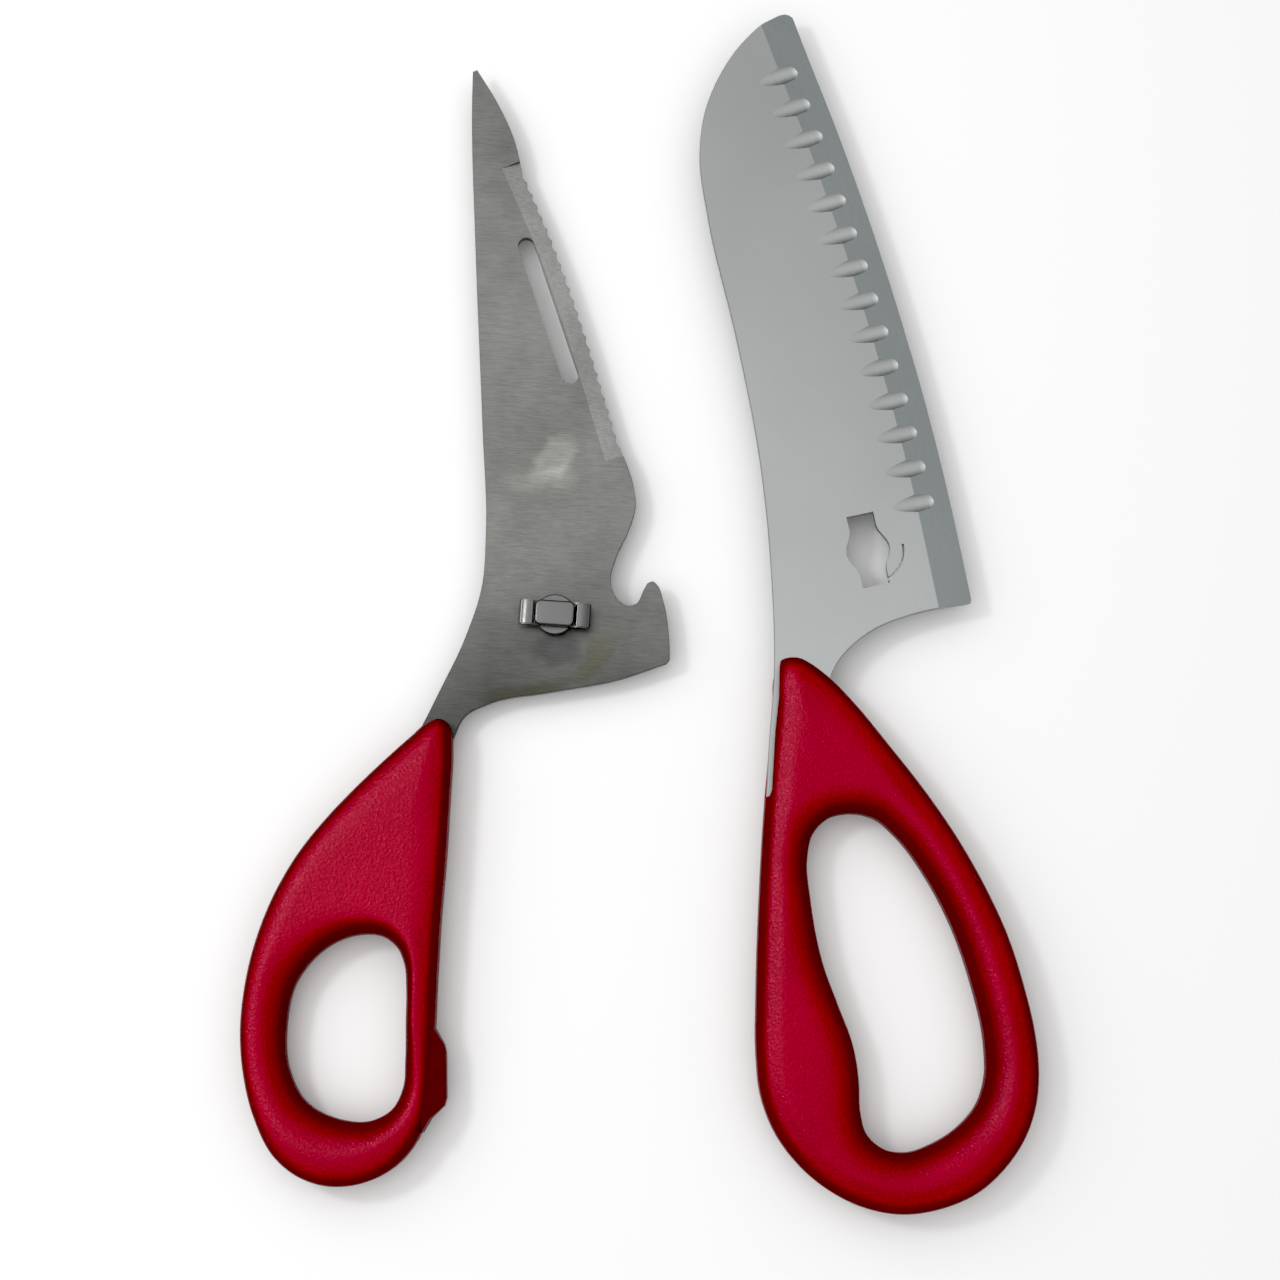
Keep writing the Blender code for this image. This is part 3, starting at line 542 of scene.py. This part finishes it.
def groove(bm, centre, inward, along, segments=40, rings=8):
    """One groove's cutter: a cylinder with a round end, whose axis rises towards the spine."""
    axis_height = UPPER_TOP - SCALLOP_DEPTH + SCALLOP_RADIUS
    tip = centre - inward * (SCALLOP_END + SCALLOP_RADIUS)
    made = [[vertex(bm, *tip, axis_height - SCALLOP_SLOPE * (SCALLOP_END + SCALLOP_RADIUS))]]
    stations = [
        (-SCALLOP_END - SCALLOP_RADIUS * math.cos(a), SCALLOP_RADIUS * math.sin(a))
        for a in np.linspace(0, math.pi / 2, rings + 1)[1:]
    ]
    stations.append((SCALLOP_RUN, SCALLOP_RADIUS))
    for u, radius in stations:
        ring = []
        for angle in np.linspace(0, 2 * math.pi, segments, endpoint=False):
            place = centre + inward * u + along * radius * math.cos(angle)
            height = axis_height + SCALLOP_SLOPE * u + radius * math.sin(angle)
            ring.append(vertex(bm, *place, height))
        made.append(ring)
    for k in range(segments):
        bm.faces.new((made[0][0], made[1][k - 1], made[1][k]))
    for lower, upper in zip(made[1:], made[2:]):
        for k in range(segments):
            bm.faces.new((lower[k - 1], upper[k - 1], upper[k], lower[k]))
    bm.faces.new(made[-1])


def serrated_blade(looks):
    """The looks are those of its faces and of its ground strip."""
    plate = prism(serrated_outline(), LOWER_BOTTOM, LOWER_TOP, BLADE_CHAMFER)
    blade = add("serrated_blade_ground", plate, STUD_AT)
    for look in looks:
        blade.data.materials.append(look)
    strip = wedge(smooth(TOOTHED_EDGE, 4.0), GROUND_STRIP, GROUND_DEPTH, LOWER_TOP, 1, STRIP_OVERRUN)
    cut(blade, strip, STUD_AT)
    back = smooth(SHEAR_EDGE[:5], 4.0)
    cut(blade, wedge(back, SHEAR_BEVEL_WIDTH, SHEAR_BEVEL_DEPTH, LOWER_BOTTOM, -1), STUD_AT)
    tag_bevel(blade)
    cut(blade, prism(slot_outline(), LOWER_BOTTOM - PAST, LOWER_TOP + PAST), STUD_AT)
    hole = SHANK_RADIUS + FIT
    above, below = LOWER_TOP + PAST, LOWER_BOTTOM - PAST
    cut(blade, turned([(0, above), (hole, above), (hole, below), (0, below)]), STUD_AT)
    shade(blade, BLADE_SHARP_ANGLE)
    flatten(blade)
    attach(blade, "serrated_half")
    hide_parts("serrated_blade")


def handle(name, outer_points, hole_points, outer_band, hole_band, softness, at):
    """A ring of rounded section with an arm: a ridge along its top, and a sloping band to each edge."""
    outline = smooth(outer_points, 0.5, closed=True)
    hole = smooth(hole_points, 0.5, closed=True)
    outer = spread(outline, STATIONS)
    inner = facing(outer, hole)
    reach = np.linalg.norm(inner - outer, axis=1)
    way = (outer - hole.mean(axis=0)) / np.linalg.norm(outer - hole.mean(axis=0), axis=1)[:, None]
    bands = [mean + right * way[:, 0] + top * way[:, 1] for mean, right, top in (outer_band, hole_band)]
    from_outer, from_hole = (
        np.minimum((BAND_MARGIN + softness) * band, BAND_LIMIT * reach) for band in bands
    )
    steps = np.linspace(0, 1, BAND_STEPS) ** BAND_CROWDING
    shares = [step * from_outer / reach for step in steps]
    shares += [shares[-1] * (1 - t) + (1 - from_hole / reach) * t for t in (0.25, 0.5, 0.75)]
    shares += [1 - step * from_hole / reach for step in steps[::-1]]
    bm = bmesh.new()
    upper, lower = [], []
    for share in shares:
        points = outer + share[:, None] * (inner - outer)
        half = handle_half_height(points, outline, hole, bands, softness)
        upper.append([vertex(bm, x, y, MID + h) for (x, y), h in zip(points, half)])
        lower.append([vertex(bm, x, y, MID - h) for (x, y), h in zip(points, half)])
    rings = upper + lower[::-1]
    skin(bm, rings + rings[:1])
    return add(name, bm, at)


def facing(outer, hole):
    """For each point of the outer outline, the hole's point in the same direction from its middle."""
    middle = hole.mean(axis=0)
    way, spoke = outer - middle, hole - middle
    angle = np.arctan2(spoke[:, 1], spoke[:, 0])
    radius = np.interp(
        np.arctan2(way[:, 1], way[:, 0]), angle[np.argsort(angle)],
        np.linalg.norm(spoke, axis=1)[np.argsort(angle)], period=2 * math.pi,
    )
    return middle + way / np.linalg.norm(way, axis=1)[:, None] * radius[:, None]


def eased(rise, softness):
    """A straight ramp up from nought, with its corner rounded over the softness to either side."""
    return np.where(rise > softness, rise, np.clip(rise + softness, 0, None) ** 2 / (4 * softness))


def handle_half_height(points, outline, hole, bands, softness):
    """Half the handle's thickness: full along the ridge, with a straight fall and a rounded edge."""
    half = np.full(len(points), HANDLE_THICKNESS / 2)
    for edge, band, fall, edge_fall, share in (
        (outline, bands[0], OUTER_FALL, OUTER_EDGE_FALL, OUTER_EDGE_SHARE),
        (hole, bands[1], HOLE_FALL, HOLE_EDGE_FALL, HOLE_EDGE_SHARE),
    ):
        away = distance(points, edge) / band
        half -= fall * eased(1 - away, softness)
        half -= edge_fall * (1 - np.sqrt(1 - (1 - np.clip(away / share, 0, 1)) ** 2))
    return half


def finger_handle():
    """The knife half's handle, with room for the tang and a window over the tang's edge."""
    grip = handle(
        "finger_grip", FINGER_OUTER, FINGER_HOLE, FINGER_OUTER_BAND, FINGER_HOLE_BAND, FINGER_SOFTNESS,
        KEYHOLE_AT,
    )
    cut(grip, prism(grown(knife_outline(), FIT), UPPER_BOTTOM - FIT, UPPER_TOP + FIT), KEYHOLE_AT)
    cut(grip, prism(np.array(TANG_WINDOW), UPPER_BOTTOM - FIT, HANDLE_THICKNESS + PAST), KEYHOLE_AT)
    shade(grip)
    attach(grip, "knife_half")
    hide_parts("finger_handle")
    return grip


def thumb_handle():
    """The serrated half's handle, with room for the tang and for the stop pad."""
    grip = handle(
        "thumb_grip", THUMB_OUTER, THUMB_HOLE, THUMB_OUTER_BAND, THUMB_HOLE_BAND, THUMB_SOFTNESS, STUD_AT,
    )
    cut(grip, prism(grown(serrated_outline(), FIT), LOWER_BOTTOM - FIT, LOWER_TOP + FIT), STUD_AT)
    cut(grip, bumper_solid(FIT), STUD_AT)
    shade(grip)
    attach(grip, "serrated_half")
    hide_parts("thumb_handle")
    return grip


def bumper_solid(extra, chamfer=0.0):
    """The stop pad, narrower towards its upper and lower faces."""
    outline = grown(np.array(BUMPER), extra)
    half = BUMPER_HALF_HEIGHT + extra
    bm = prism(outline, MID - half, MID + half, chamfer)
    outer_x = max(x for x, _ in outline) * MM
    for vert in bm.verts:
        if vert.co.x > outer_x - BUMPER_DRAFT_REACH * MM:
            vert.co.z -= math.copysign(BUMPER_DRAFT * MM, vert.co.z - MID * MM)
    return bm


def bumper():
    """The stop pad on the thumb handle's inner side."""
    pad = add("stop_pad", bumper_solid(0, BUMPER_CHAMFER), STUD_AT)
    shade(pad)
    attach(pad, "serrated_half")
    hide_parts("handle_bumper")
    return pad


def pivot_stud():
    """A turned shank with a domed rivet below, and the head joined on above."""
    rivet_top = LOWER_BOTTOM - FIT - WASHER_THICKNESS - FIT
    crown = [
        (RIVET_RADIUS * math.cos(a), rivet_top - RIVET_HEIGHT * math.sin(a))
        for a in np.linspace(0, math.pi / 2, 12)
    ]
    shank_top = HEAD_BOTTOM + INTO_HEAD
    profile = [(0, shank_top), (SHANK_RADIUS, shank_top), (SHANK_RADIUS, rivet_top)]
    stud = add("pivot_stud_turned", turned(profile + crown[:-1] + [(0, crown[-1][1])]), STUD_AT)
    cut(stud, stud_head(), STUD_AT, "UNION")
    cut(stud, stud_pad(), STUD_AT, "UNION")
    shade(stud)
    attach(stud, "serrated_half")
    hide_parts("pivot_stud")
    return stud


def stud_head():
    """A cross bar whose wings slope down to its ends, and dip where the pad stands on its middle."""
    end, pad = HEAD_LENGTH / 2, PAD_LENGTH / 2
    side = [
        (end, HEAD_BOTTOM), (end, WING_TOP - 0.6), (end - 0.5, WING_TOP - 0.25), (pad + 0.9, WING_TOP),
        (pad + 0.3, WING_TOP - 0.15), (pad - 0.1, WING_TOP - 0.6),
    ]
    side += [(-u, z) for u, z in side[::-1]]
    bm = bmesh.new()
    rings = []
    for v in (-HEAD_WIDTH / 2, HEAD_WIDTH / 2):
        rings.append([vertex(bm, *head_point(u, v), z) for u, z in side])
    bm.faces.new(rings[0])
    bm.faces.new(rings[1])
    skin(bm, rings)
    bmesh.ops.bevel(
        bm, geom=bm.edges, offset=HEAD_EASING * MM, segments=3, affect="EDGES", clamp_overlap=True,
    )
    return bm


def head_point(u, v):
    """A point that is given along and across the cross bar, which stands at a small turn."""
    cos, sin = math.cos(HEAD_TURN), math.sin(HEAD_TURN)
    return u * cos - v * sin, u * sin + v * cos


def stud_pad(corner_steps=9, easing_steps=5):
    """The raised middle of the stud's head: a block with round corners and an eased upper edge."""
    half_length = PAD_LENGTH / 2 - PAD_CORNER
    half_width = (HEAD_WIDTH + PAD_EXTRA_WIDTH) / 2 - PAD_CORNER
    outline = []
    for quarter, (u, v) in enumerate(((1, 1), (-1, 1), (-1, -1), (1, -1))):
        for angle in np.linspace(quarter, quarter + 1, corner_steps) * math.pi / 2:
            outline.append(head_point(
                u * half_length + PAD_CORNER * math.cos(angle),
                v * half_width + PAD_CORNER * math.sin(angle),
            ))
    outline = np.array(outline)
    easing_bottom = PAD_TOP - PAD_EASING
    levels = [(outline, HEAD_BOTTOM + PAD_ROOT), (outline, easing_bottom)]
    for angle in np.linspace(0.3, 1.57, easing_steps):
        inset = PAD_EASING * (1 - math.cos(angle))
        levels.append((grown(outline, -inset), easing_bottom + PAD_EASING * math.sin(angle)))
    return solid(levels)


def turned_ring(name, inner, outer, bottom, top, body, node):
    """A steel ring about the stud's axis, with a small chamfer round both outer edges."""
    chamfer = RING_CHAMFER
    profile = [
        (inner, top), (outer - chamfer, top), (outer, top - chamfer), (outer, bottom + chamfer),
        (outer - chamfer, bottom), (inner, bottom),
    ]
    ring = add(name, turned(profile), STUD_AT)
    shade(ring)
    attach(ring, body)
    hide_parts(node)
    return ring


# Materials

def material(name):
    """A new material, with its nodes, its links and its shader."""
    made = bpy.data.materials.new(name)
    made.use_nodes = True
    nodes, links = made.node_tree.nodes, made.node_tree.links
    return made, nodes, links, nodes["Principled BSDF"]


def noise(nodes, links, scale, detail, roughness=0.5, stretch=(1, 1, 1), turn=0.0):
    """Noise with about this many turns in a metre, which may be stretched along a direction."""
    place = nodes.new("ShaderNodeTexCoord")
    shape = nodes.new("ShaderNodeMapping")
    shape.vector_type = "TEXTURE"
    shape.inputs["Rotation"].default_value = (0, 0, turn)
    shape.inputs["Scale"].default_value = [s / scale for s in stretch]
    made = nodes.new("ShaderNodeTexNoise")
    links.new(place.outputs["Object"], shape.inputs["Vector"])
    links.new(shape.outputs["Vector"], made.inputs["Vector"])
    made.inputs["Detail"].default_value = detail
    made.inputs["Roughness"].default_value = roughness
    made.inputs["Scale"].default_value = 1.0
    return made.outputs[0]


def ramp(nodes, links, source, low, high, start=0.3, end=0.7):
    """The source's value, between a start and an end, turned into a colour between two others. Most
    of a noise's values lie between the default ends."""
    made = nodes.new("ShaderNodeValToRGB")
    made.color_ramp.elements[0].position = start
    made.color_ramp.elements[0].color = (*low, 1)
    made.color_ramp.elements[1].position = end
    made.color_ramp.elements[1].color = (*high, 1)
    links.new(source, made.inputs["Fac"])
    return made.outputs["Color"]


def blend_colours(nodes, links, kind, share, first, second):
    """Two colours mixed, with this share of the second one's effect. For colours, the node's sockets
    are 6 and 7, and its result is 2."""
    made = nodes.new("ShaderNodeMix")
    made.data_type = "RGBA"
    made.blend_type = kind
    made.inputs[0].default_value = share
    links.new(first, made.inputs[6])
    links.new(second, made.inputs[7])
    return made.outputs[2]


def bump(nodes, links, height, strength, size, shader):
    """Small relief from a texture's value; the size is in metres."""
    made = nodes.new("ShaderNodeBump")
    made.inputs["Strength"].default_value = strength
    made.inputs["Distance"].default_value = size
    links.new(height, made.inputs["Height"])
    links.new(made.outputs["Normal"], shader.inputs["Normal"])


def grey(value):
    return (value, value, value)


def facing_up(nodes, links):
    """How squarely a surface faces up or down: 1 on the moulding's flats, and 0 on its upright sides. It
    places the nylon's painted shade and its lower gloss.
    """
    surface = nodes.new("ShaderNodeNewGeometry")
    parts = nodes.new("ShaderNodeSeparateXYZ")
    links.new(surface.outputs["Normal"], parts.inputs["Vector"])
    size = nodes.new("ShaderNodeMath")
    size.operation = "ABSOLUTE"
    links.new(parts.outputs["Z"], size.inputs[0])
    return size.outputs[0]


def red_nylon():
    """Moulded crimson nylon with a spark-eroded grain, with painted shade darkening its steep sides,
    which are also duller.
    """
    made, nodes, links, shader = material("red_nylon")
    cloud = noise(nodes, links, 60, 3.0)
    colour = ramp(nodes, links, cloud, *NYLON_REDS)
    flatness = facing_up(nodes, links)
    # painted shade: the colour is darkened where the surface faces sideways
    painted_side_shade = ramp(nodes, links, flatness, grey(SIDE_PAINTED_SHADE), grey(1.0), 0.72, 0.96)
    colour = blend_colours(nodes, links, "MULTIPLY", 1.0, colour, painted_side_shade)
    grain = noise(nodes, links, 1700, 2.5, 0.65)
    speckle = ramp(nodes, links, grain, grey(0.86), grey(1.14), 0.35, 0.65)
    colour = blend_colours(nodes, links, "MULTIPLY", 1.0, colour, speckle)
    links.new(colour, shader.inputs["Base Color"])
    roughness = ramp(nodes, links, grain, grey(0.36), grey(0.14), 0.42, 0.66)
    links.new(roughness, shader.inputs["Roughness"])
    gloss = ramp(nodes, links, flatness, grey(0.02), grey(0.55), 0.6, 0.92)
    links.new(gloss, shader.inputs["Specular IOR Level"])
    bump(nodes, links, grain, 1.0, 0.00016, shader)
    shader.inputs["Specular Tint"].default_value = (*NYLON_GLEAM, 1)
    return made


def stop_pad_plastic():
    """Dull dark red plastic with a faint grain."""
    made, nodes, links, shader = material("stop_pad")
    cloud = noise(nodes, links, 200, 3.0)
    links.new(ramp(nodes, links, cloud, *STOP_PAD_REDS), shader.inputs["Base Color"])
    grain = noise(nodes, links, 3000, 2.0)
    links.new(ramp(nodes, links, grain, grey(0.5), grey(0.65)), shader.inputs["Roughness"])
    bump(nodes, links, grain, 0.3, 0.00004, shader)
    shader.inputs["Specular IOR Level"].default_value = 0.3
    return made


def satin_steel(name, tone, spread_of_tone, rough, tones=None):
    """Steel with a fine even grind: small soft flecks and a slow change of tone."""
    made, nodes, links, shader = material(name)
    shader.inputs["Metallic"].default_value = 1.0
    cloud = noise(nodes, links, 28, 4.0, 0.55)
    fleck = noise(nodes, links, 1500, 3.0, stretch=(1.0, 4.0, 1.0), turn=0.3)
    low = [t * (1 - spread_of_tone) for t in tone]
    high = [t * (1 + spread_of_tone) for t in tone]
    slow = ramp(nodes, links, cloud, low, high)
    fine = ramp(nodes, links, fleck, grey(0.42), grey(0.58))
    colour = blend_colours(nodes, links, "OVERLAY", 0.25, slow, fine)
    if tones:
        along = tone_along(nodes, links, *tones)
        colour = blend_colours(nodes, links, "MULTIPLY", 1.0, colour, along)
    links.new(colour, shader.inputs["Base Color"])
    roughness = ramp(nodes, links, fleck, grey(rough - 0.05), grey(rough + 0.05))
    links.new(roughness, shader.inputs["Roughness"])
    bump(nodes, links, fleck, 0.1, 0.000004, shader)
    return made


def tone_along(nodes, links, low, high, low_tone, high_tone):
    """A grey that changes between two heights above the stud."""
    place = nodes.new("ShaderNodeTexCoord")
    parts = nodes.new("ShaderNodeSeparateXYZ")
    links.new(place.outputs["Object"], parts.inputs["Vector"])
    span = nodes.new("ShaderNodeMapRange")
    span.inputs["From Min"].default_value = (STUD_AT[1] + low) * MM
    span.inputs["From Max"].default_value = (STUD_AT[1] + high) * MM
    links.new(parts.outputs["Y"], span.inputs["Value"])
    return ramp(nodes, links, span.outputs["Result"], grey(low_tone), grey(high_tone), 0.0, 1.0)


def wear_and_shadow_patch(nodes, links, middle, size, turn, tone):
    """A soft-edged patch of a tone on the serrated blade, and white all round it, used for the patches,
    the stains and the stud's painted shadow.
    """
    place = nodes.new("ShaderNodeTexCoord")
    wobble = nodes.new("ShaderNodeTexNoise")
    wobble.inputs["Scale"].default_value = PATCH_WOBBLE_SCALE
    links.new(place.outputs["Object"], wobble.inputs["Vector"])
    moved = nodes.new("ShaderNodeVectorMath")
    moved.operation = "MULTIPLY_ADD"
    links.new(wobble.outputs["Color"], moved.inputs[0])
    moved.inputs[1].default_value = (PATCH_WOBBLE * MM, PATCH_WOBBLE * MM, 0.0)
    links.new(place.outputs["Object"], moved.inputs[2])
    shape = nodes.new("ShaderNodeMapping")
    shape.vector_type = "TEXTURE"
    x, y = (STUD_AT[k] + middle[k] + PATCH_WOBBLE / 2 for k in (0, 1))
    shape.inputs["Location"].default_value = (x * MM, y * MM, LOWER_TOP * MM)
    shape.inputs["Rotation"].default_value = (0, 0, turn)
    shape.inputs["Scale"].default_value = (size[0] * MM, size[1] * MM, 1)
    ball = nodes.new("ShaderNodeTexGradient")
    ball.gradient_type = "SPHERICAL"
    links.new(moved.outputs["Vector"], shape.inputs["Vector"])
    links.new(shape.outputs["Vector"], ball.inputs["Vector"])
    return ramp(nodes, links, ball.outputs["Fac"], grey(1.0), tone, 0.1, 0.55)


def brushed_steel(name, tone, rough):
    """Steel with long fine lines across the blade, cloudy patches, a few dull stains and a painted shadow
    below the stud.
    """
    made, nodes, links, shader = material(name)
    shader.inputs["Metallic"].default_value = 1.0
    cloud = noise(nodes, links, 45, 5.0, 0.6)
    lines = noise(nodes, links, 4200, 2.0, 0.8, stretch=(14.0, 1.0, 1.0), turn=-0.07)
    slow = ramp(nodes, links, cloud, [t * 0.8 for t in tone], [t * 1.2 for t in tone])
    fine = ramp(nodes, links, lines, grey(0.32), grey(0.68))
    colour = blend_colours(nodes, links, "OVERLAY", 0.6, slow, fine)
    along = tone_along(nodes, links, *SERRATED_TONES)
    colour = blend_colours(nodes, links, "MULTIPLY", 1.0, colour, along)
    for middle, size, turn, patch_tone in WEAR_STAINS_AND_STUD_SHADOW:
        patch = wear_and_shadow_patch(nodes, links, middle, size, turn, patch_tone)
        colour = blend_colours(nodes, links, "MULTIPLY", 1.0, colour, patch)
    links.new(colour, shader.inputs["Base Color"])
    roughness = ramp(nodes, links, lines, grey(rough - 0.08), grey(rough + 0.08))
    links.new(roughness, shader.inputs["Roughness"])
    bump(nodes, links, lines, 0.4, 0.000008, shader)
    return made


# Surroundings

def camera():
    """Almost straight above the shears, and tilted a little from the handles' side."""
    data = bpy.data.cameras.new("camera")
    data.sensor_width = SENSOR
    data.lens = SENSOR * CAMERA_DISTANCE / VIEW_WIDTH
    data.clip_start = 0.01
    obj = bpy.data.objects.new("camera", data)
    back, up = math.sin(CAMERA_TILT), math.cos(CAMERA_TILT)
    middle_x, middle_y = STUD_AT[0] + AIM[0], STUD_AT[1] + AIM[1]
    obj.location = (middle_x * MM, (middle_y - CAMERA_DISTANCE * back) * MM, CAMERA_DISTANCE * up * MM)
    obj.rotation_euler = (CAMERA_TILT, 0, 0)
    bpy.context.collection.objects.link(obj)
    bpy.context.scene.camera = obj


def area_light(name, place, size, power):
    """A round light that faces the middle of the floor."""
    data = bpy.data.lights.new(name, "AREA")
    data.shape = "DISK"
    data.size = size
    data.energy = power
    obj = bpy.data.objects.new(name, data)
    obj.location = place
    obj.rotation_euler = (Vector((0, 0, 0)) - Vector(place)).to_track_quat("-Z", "Y").to_euler()
    bpy.context.collection.objects.link(obj)


def floor():
    bm = bmesh.new()
    bmesh.ops.create_grid(bm, x_segments=1, y_segments=1, size=FLOOR_REACH)
    obj = add("floor", bm, (0, 0))
    made, *_, shader = material("floor")
    shader.inputs["Base Color"].default_value = (*grey(FLOOR_GREY), 1)
    shader.inputs["Roughness"].default_value = 0.9
    shader.inputs["Specular IOR Level"].default_value = 0.0
    obj.data.materials.append(made)


def sky():
    """Soft light from above that dims towards the horizon."""
    world = bpy.data.worlds.new("studio")
    world.use_nodes = True
    nodes, links = world.node_tree.nodes, world.node_tree.links
    way = nodes.new("ShaderNodeTexCoord")
    parts = nodes.new("ShaderNodeSeparateXYZ")
    links.new(way.outputs["Generated"], parts.inputs["Vector"])
    shade_of_height = nodes.new("ShaderNodeValToRGB")
    stops = shade_of_height.color_ramp.elements
    stops[0].position, stops[0].color = SKY_STOPS[0][0], (*grey(SKY_STOPS[0][1]), 1)
    stops[1].position, stops[1].color = SKY_STOPS[-1][0], (*grey(SKY_STOPS[-1][1]), 1)
    for height, strength in SKY_STOPS[1:-1]:
        stops.new(height).color = (*grey(strength), 1)
    links.new(parts.outputs["Z"], shade_of_height.inputs["Fac"])
    links.new(shade_of_height.outputs["Color"], nodes["Background"].inputs["Color"])
    nodes["Background"].inputs["Strength"].default_value = SKY_STRENGTH
    bpy.context.scene.world = world


def picture_contrast():
    """Plain display colours with slightly deeper darks."""
    view = bpy.context.scene.view_settings
    view.view_transform = "Standard"
    view.use_curve_mapping = True
    view.curve_mapping.black_level = grey(BLACK_LEVEL)
    view.curve_mapping.update()


def blades():
    knife_blade([
        satin_steel("blade_steel", KNIFE_STEEL, 0.04, 0.4, KNIFE_TONES),
        satin_steel("bevel_steel", BEVEL_STEEL, 0.05, 0.38),
        # lighter than the face's steel: painted light in the grooves
        satin_steel("groove_steel", GROOVE_STEEL, 0.06, 0.42),
    ])
    serrated_blade([
        brushed_steel("serrated_steel", SERRATED_STEEL, 0.42),
        brushed_steel("ground_strip_steel", GROUND_STRIP_STEEL, 0.4),
    ])


def handles():
    nylon = red_nylon()
    dress(finger_handle(), nylon)
    dress(thumb_handle(), nylon)
    dress(bumper(), stop_pad_plastic())


def pivot():
    steel = satin_steel("pivot_steel", PIVOT_STEEL, 0.15, 0.3)
    dress(pivot_stud(), steel)
    hole = SHANK_RADIUS + FIT
    bush = turned_ring(
        "pivot_bush_turned", hole, JOURNAL_RADIUS, LOWER_TOP + FIT, HEAD_BOTTOM - FIT,
        "pivot_collar", "pivot_bush",
    )
    dress(bush, steel)
    washer_top = LOWER_BOTTOM - FIT
    washer = turned_ring(
        "stud_washer_turned", hole, WASHER_RADIUS, washer_top - WASHER_THICKNESS, washer_top,
        "serrated_half", "stud_washer",
    )
    dress(washer, steel)


def dress(piece, look):
    """Give the whole piece one material."""
    piece.data.materials.clear()
    piece.data.materials.append(look)


def main():
    camera()
    sky()
    area_light("key", KEY_PLACE, KEY_SIZE, KEY_POWER)
    area_light("softbox", KEY_PLACE, SOFTBOX_SIZE, SOFTBOX_POWER)
    floor()
    picture_contrast()
    blades()
    handles()
    pivot()


main()
